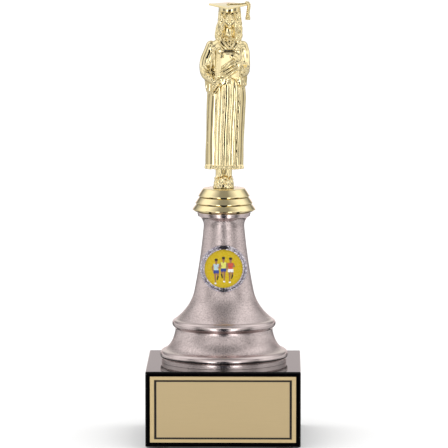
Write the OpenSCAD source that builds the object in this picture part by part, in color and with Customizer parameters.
// Riser trophy: a stone block, a bell-shaped riser with a round insert, and a graduate figure on a
// stepped base, all held together by one threaded rod. Millimetres, +Z up, front towards -Y.
// The origin is on the table, under the middle of the block.

/* [Block] */
// Width and depth of the stone block
block_w = 88.9; // [80:0.1:96]
// Height of the stone block
block_h = 43.5; // [40:0.5:48]
// Chamfer along the block's edges
block_chamfer = 0.7; // [0.4:0.1:1.2]
// Diameter of the hole for the rod
block_bore_d = 8; // [7.5:0.5:10]
// Diameter of the pocket for the nut
pocket_d = 26; // [22:1:30]
// Depth of the pocket for the nut
pocket_depth = 14; // [13:0.5:18]
// Thickness of the felt pads
pad_t = 1; // [0.8:0.1:2]
// Diameter of the felt pads
pad_d = 12; // [10:1:16]
// Distance of the pads' centres from the block's sides
pad_inset = 9; // [8:0.5:12]

/* [Plate] */
// Width of the engraving plate
plate_w = 83.5; // [70:0.5:85]
// Height of the engraving plate
plate_h = 38; // [30:0.5:39]
// Thickness of the engraving plate
plate_t = 0.5; // [0.4:0.1:0.8]
// Thickness of the adhesive film
film_t = 0.15; // [0.1:0.05:0.2]

/* [Riser] */
// Height of the riser
riser_h = 87.5; // [87:0.5:88]
// Wall thickness of the riser
riser_wall = 2.2; // [1.8:0.1:2.6]
// Diameter of the printed insert
insert_d = 22.2; // [22:0.1:22.4]
// Thickness of the printed insert
insert_t = 0.4; // [0.3:0.1:0.5]
// Outer diameter of the wreath around the insert
wreath_d = 27.2; // [26.6:0.1:27.4]
// Height of the insert's centre above the block
insert_z = 55.8; // [55:0.1:56.5]
// Backward tilt of the insert, in degrees
insert_tilt = 8; // [6:0.5:9]

/* [Figure] */
// Height of the stepped base
base_h = 13.5; // [13:0.1:14]
// Half the diagonal of the square cap board
board_r = 11.4; // [10:0.1:12]
// Forward tilt of the cap board, in degrees
board_tilt = 5; // [0:1:8]
// Wall thickness of the hollow figure
figure_wall = 1.8; // [1.5:0.1:2.2]

/* [Hardware] */
// Major diameter of the rod's thread
rod_d = 6.35; // [6:0.05:6.5]
// Width across the flats of both nuts
nut_af = 11.1; // [10:0.1:11.2]
// Thickness of both nuts
nut_t = 5.6; // [5:0.1:6]
// Thickness of each washer
washer_t = 1.6; // [1.2:0.1:2]

/* [Hidden] */
$fn = 96;
block_top = pad_t + block_h;
riser_top = block_top + riser_h;
base_top = riser_top + base_h;
rod_r = rod_d / 2;
rod_hole_r = rod_r + 0.35;
nut_bore_r = rod_r + 0.03;
pocket_top = pad_t + pocket_depth;
lock_washer_top = pocket_top - washer_t;
bottom_nut_top = lock_washer_top - washer_t;
rod_bottom = bottom_nut_top - nut_t - 2.5;
rod_top = riser_top + 9.5;
captive_nut_z = riser_top + 1.2;

// Points along a quadratic Bezier curve from a to c, without c itself.
function bend(a, b, c, n = 10) =
    [for (i = [0:n - 1]) let (t = i / n) (1 - t) * (1 - t) * a + 2 * t * (1 - t) * b + t * t * c];
// Points along an arc about centre m from angle a0 to a1.
function arc(m, r, a0, a1, n = 10) =
    [for (i = [0:n]) let (a = a0 + (a1 - a0) * i / n) m + r * [cos(a), sin(a)]];

// ---------------------------------------------------------------- block

module ring(r_out, r_in, h) {
    difference() {
        cylinder(r = r_out, h = h);
        translate([0, 0, -1]) cylinder(r = r_in, h = h + 2);
    }
}

module marble_block() {
    c = block_chamfer;
    color("#141214") difference() {
        translate([0, 0, pad_t + block_h / 2]) hull() {
            cube([block_w, block_w - 2 * c, block_h - 2 * c], center = true);
            cube([block_w - 2 * c, block_w, block_h - 2 * c], center = true);
            cube([block_w - 2 * c, block_w - 2 * c, block_h], center = true);
        }
        cylinder(d = block_bore_d, h = block_top + 1);
        cylinder(d = pocket_d, h = pocket_top);
    }
}

module felt_pads() {
    p = block_w / 2 - pad_inset;
    color("#20231f") for (x = [-p, p], y = [-p, p]) translate([x, y, 0]) cylinder(d = pad_d, h = pad_t);
}

module on_front_face(w, h, t, gap) {
    translate([-w / 2, -block_w / 2 - gap - t, pad_t + (block_h - h) / 2]) cube([w, t, h]);
}

module engraving_plate() {
    color("#c9ae7c") on_front_face(plate_w, plate_h, plate_t, film_t);
}

module plate_adhesive() {
    color("#e9e6dc") on_front_face(plate_w - 3, plate_h - 3, film_t, 0);
}

// ---------------------------------------------------------------- riser

// Outer outline of the riser, as [radius, height above the block], from its foot to its top edge.
riser_outline = concat(
    [[36.2, 0], [36.2, 1.2], [35.6, 1.7]],
    arc([34.3, 4.4], 2.8, -50, 75),                          // foot bead
    bend([34.8, 7.2], [29.9, 9.4], [28.2, 18.2]),            // lower flare
    [[28.2, 19.4]],
    arc([27.5, 22.4], 2.5, -60, 75),                         // ring bead
    bend([27.7, 25.2], [18.4, 32.8], [16.9, 42.6]),          // upper flare
    bend([16.9, 42.6], [13.3, 61], [11.7, 79]),              // neck
    bend([11.7, 79], [11.7, 83.2], [15.0, 84.9], 8),         // cove
    arc([14.6, riser_h - 0.8], 0.8, 0, 90, 5));
// Inner outline, one wall thickness in; grow moves it outwards.
function riser_inside(grow) = let (w = riser_wall - grow) concat(
    [[33.6 + grow, -1], [33.6 + grow, 4.5]],
    bend([33.6 + grow, 4.5], [29.4 - w, 9.2], [28.2 - w, 18]),
    bend([28.2 - w, 24], [17.6 - w, 32], [16.9 - w, 42.6]),
    bend([16.9 - w, 42.6], [13.3 - w, 61], [11.7 - w, 79]),
    [[11.7 - w, riser_h - 3 + grow]]);
drum_r = wreath_d / 2 + 0.2;
drum_y = 15.7;                 // distance of the drum's face from the axis, at its centre
insert_recess = 0.9;           // depth of the recess behind the wreath
drum_front = 2.4;              // how far the drum's inside stops behind its face

module revolve(outline) {
    rotate_extrude() polygon(concat(outline, [[0, outline[len(outline) - 1][1]], [0, outline[0][1]]]));
}

// Places its children on the drum's face: z points out of the face, y points up along it.
module on_drum() {
    translate([0, -drum_y, block_top + insert_z]) rotate([90 - insert_tilt, 0, 0]) children();
}

module riser_ribs() {
    intersection() {
        translate([0, 0, block_top]) revolve(riser_inside(0.6));
        translate([0, 0, block_top + 66]) difference() {
            for (a = [45, 135]) rotate([0, 0, a]) translate([-20, -0.8, 0]) cube([40, 1.6, riser_h - 67]);
            translate([0, 0, -1]) cylinder(r = 5, h = riser_h);
        }
    }
}

module riser_shell() {
    color("#b8adad") difference() {
        union() {
            difference() {
                union() {
                    translate([0, 0, block_top]) revolve(riser_outline);
                    on_drum() translate([0, 0, -13]) cylinder(r = drum_r, h = 13);
                }
                translate([0, 0, block_top]) revolve(riser_inside(0));
                on_drum() translate([0, 0, -drum_y]) cylinder(r = drum_r - riser_wall, h = drum_y - drum_front);
            }
            riser_ribs();
            translate([0, 0, block_top + 58]) cylinder(r = 5.6, h = riser_h - 59);
        }
        translate([0, 0, block_top]) cylinder(r = rod_hole_r, h = riser_h + 1);
        on_drum() translate([0, 0, -insert_recess]) cylinder(r = insert_d / 2 + 0.1, h = 5);
    }
}

module wreath_bezel() {
    lip_r = insert_d / 2 - 0.15;
    outer_r = wreath_d / 2;
    color("#a9a0a2") on_drum() rotate_extrude() polygon(concat(
        [[lip_r, 0], [outer_r, 0]],
        arc([outer_r - 0.7, 0.8], 0.7, 0, 90, 6),
        arc([lip_r + 0.6, 0.8], 0.6, 90, 180, 6)));
}

module insert_disc() {
    color("#e0bb18") on_drum() translate([0, 0, -insert_t]) cylinder(d = insert_d, h = insert_t);
}

module insert_adhesive() {
    color("#e9e6dc") on_drum() translate([0, 0, -insert_recess]) cylinder(d = insert_d - 2, h = insert_recess - insert_t);
}

// ---------------------------------------------------------------- stepped base

// Each tier is [lower edge radius, its height, upper edge radius, its height].
tiers = [[18.05, 1.7, 15.5, 4.4], [15.95, 5.1, 13.5, 8.5], [14.45, 9.2, 11.7, 13.0]];
lip = 0.45;                    // thickness of each tier's edge
base_outline = concat(
    [[15.6, 0], [17.3, 0.35]],
    [for (t = tiers, p = [[t[0], t[1] - lip], [t[0], t[1]], [t[2], t[3]]]) p],
    [[11.3, base_h]]);
peg_r = 4.1;
peg_depth = 1.2;

module figure_base() {
    color("#d9bd5f") translate([0, 0, riser_top]) difference() {
        union() {
            difference() {
                revolve(base_outline);
                translate([0, 0, -1]) cylinder(r1 = 14.6, r2 = 8.6, h = 11.6);
            }
            translate([0, 0, 0.6]) cylinder(r = 8.2, h = base_h - 2.5);
        }
        translate([0, 0, -1]) cylinder(r = rod_hole_r, h = base_h - 1.5);
        translate([0, 0, -1]) cylinder(d = (nut_af + 0.1) / cos(30), h = 2.2 + nut_t, $fn = 6);
        translate([0, 0, base_h - peg_depth]) cylinder(r = peg_r + 0.1, h = 2);
    }
}

// ---------------------------------------------------------------- figure

// A closed loft. Each section is [z, centre x, centre y, half width, half depth].
module loft(sections, sides = 32) {
    n = len(sections);
    points = [for (s = sections, i = [0:sides - 1]) let (a = 360 * i / sides)
        [s[1] + s[3] * cos(a), s[2] + s[4] * sin(a), s[0]]];
    walls = [for (k = [0:n - 2], i = [0:sides - 1]) let (j = (i + 1) % sides)
        [k * sides + i, (k + 1) * sides + i, (k + 1) * sides + j, k * sides + j]];
    polyhedron(concat(points), concat([[for (i = [0:sides - 1]) i]], walls,
        [[for (i = [sides - 1:-1:0]) (n - 1) * sides + i]]));
}

// A limb of round sections, each [x, y, z, radius].
module limb(joints) {
    for (i = [0:len(joints) - 2]) hull() for (j = [joints[i], joints[i + 1]])
        translate([j[0], j[1], j[2]]) sphere(r = j[3], $fn = 20);
}

gown = [[11.4, -0.1, 0, 11.2, 8.4], [26, 0.2, 0, 11.1, 8.0], [42, 0.8, 0, 11.0, 7.5],
    [54, 1.2, 0, 11.0, 7.1], [64, 1.3, 0, 9.8, 6.6], [74, 1.7, 0, 10.4, 6.2], [80, 1.9, 0, 12.0, 5.6],
    [83.6, 2.0, 0, 11.0, 4.8], [86.4, 2.2, 0.2, 7.4, 4.2], [89, 2.5, 0.3, 4.4, 3.6], [92, 2.7, 0, 3.2, 3.2]];
head = [[89, 2.7, 0.5, 6.6, 4.6], [92.5, 2.8, 0.2, 6.8, 5.2], [97, 2.8, 0.2, 6.7, 5.8],
    [101, 2.8, 0.3, 6.4, 5.9], [106.4, 2.7, 0.4, 5.8, 5.6]];
legs = [[5.6, -0.3, 0.2, 5.3, 4.0], [12, -0.4, 0.2, 4.9, 3.8]];
mound = [[0, -0.3, 0, 6.0, 5.6], [3, -0.3, 0, 5.7, 5.2], [6.4, -0.3, 0.1, 5.2, 4.4]];
hollow = [[15, -0.1, 0, 11.2, 8.4], [26, 0.2, 0, 11.1, 8.0], [42, 0.8, 0, 11.0, 7.5],
    [54, 1.2, 0, 11.0, 7.1], [64, 1.3, 0, 9.8, 6.6], [74, 1.7, 0, 10.4, 6.2], [79, 1.9, 0, 9.0, 5.0]];
left_sleeve = [[-8.6, 0.2, 80, 3.4], [-11.0, -0.3, 70.5, 3.5], [-8.4, -3.6, 63, 4.4], [-4.6, -6.4, 61, 3.6]];
right_sleeve = [[12.2, 0.2, 80, 3.4], [11.4, -0.3, 70.5, 3.7], [10.6, -3.6, 65.4, 4.2], [8.0, -6.6, 66, 3.2]];
left_drape = [[-8.8, -1.8, 66, 4.2], [-8.6, -2.4, 58.4, 1.9]];
right_drape = [[11.0, -2.0, 66, 4.0], [10.2, -3.0, 59.4, 1.6]];
left_hand = [[-4.6, -7.0, 60.6, 1.9], [-0.6, -8.6, 61.8, 1.7], [1.6, -8.6, 63, 1.2]];
right_hand = [[7.6, -8.0, 67, 1.9], [4.0, -10.0, 68.4, 1.8], [-0.6, -10.0, 65.8, 1.1]];

// Where the cap's board sits, and the board itself, thickness t.
board_x = 2.65;
board_z = base_top + 105.4;
board_t = 0.9;

module on_board() {
    translate([board_x, 0, board_z]) rotate([board_tilt, 0, 0]) children();
}

module board_slab(t) {
    on_board() cylinder(r = board_r, h = t, $fn = 4);
}

module figure_solid() {
    loft(gown);
    loft(head);
    loft(legs);
    loft(mound);
    for (j = [left_sleeve, right_sleeve, left_drape, right_drape, left_hand, right_hand]) limb(j);
    translate([2.4, -7.6, 72.6]) rotate([8, 0, 0]) cube([12.4, 3, 15], center = true);
}

module figure_cavity() {
    w = figure_wall;
    loft([for (s = hollow) [s[0], s[1], s[2], s[3] - w, s[4] - w]]);
}

// One half of the figure, cut at its middle plane. side is -1 for the front and 1 for the back.
module figure_half(side) {
    difference() {
        translate([0, 0, base_top]) intersection() {
            union() {
                difference() {
                    figure_solid();
                    figure_cavity();
                }
                translate([0, 0, 0.1 - peg_depth]) cylinder(r = peg_r, h = peg_depth + 0.9);
            }
            translate([-40, side < 0 ? -40 : 0, -2]) cube([80, 40, 110]);
        }
        board_slab(4);
    }
}

module figure_front() {
    color("#e0c56c") figure_half(-1);
}

module figure_back() {
    color("#e0c56c") figure_half(1);
}

module cap_board() {
    color("#e0c56c") {
        board_slab(board_t);
        on_board() translate([0, 0, board_t]) cylinder(r1 = 1.3, r2 = 0.9, h = 0.6);
    }
}

module tassel() {
    tuft_h = 3.4;
    cord_h = 6.2;
    color("#e0c56c") difference() {
        translate([board_x + board_r - 0.3, 0, board_z - cord_h]) {
            cylinder(r = 0.8, h = cord_h + board_t + 0.6);
            translate([0, 0, -tuft_h]) cylinder(r1 = 1.3, r2 = 1.0, h = tuft_h);
        }
        board_slab(board_t);
    }
}

// ---------------------------------------------------------------- hardware

module hex_nut() {
    difference() {
        cylinder(d = nut_af / cos(30), h = nut_t, $fn = 6);
        translate([0, 0, -1]) cylinder(r = nut_bore_r, h = nut_t + 2);
    }
}

module captive_nut() {
    color("#8f9296") translate([0, 0, captive_nut_z]) hex_nut();
}

module tie_rod() {
    color("#8f9296") translate([0, 0, rod_bottom]) cylinder(r = rod_r, h = rod_top - rod_bottom);
}

module flat_washer() {
    color("#9a9da1") translate([0, 0, lock_washer_top]) ring(9.2, rod_r + 0.4, washer_t);
}

module lock_washer() {
    color("#9a9da1") translate([0, 0, bottom_nut_top]) difference() {
        ring(5.6, rod_r + 0.25, washer_t);
        translate([0, -0.4, -1]) cube([10, 0.8, 5]);
    }
}

module bottom_nut() {
    color("#8f9296") translate([0, 0, bottom_nut_top - nut_t]) hex_nut();
}

marble_block();
felt_pads();
engraving_plate();
plate_adhesive();
riser_shell();
wreath_bezel();
insert_disc();
insert_adhesive();
figure_base();
figure_front();
figure_back();
cap_board();
tassel();
captive_nut();
tie_rod();
flat_washer();
lock_washer();
bottom_nut();
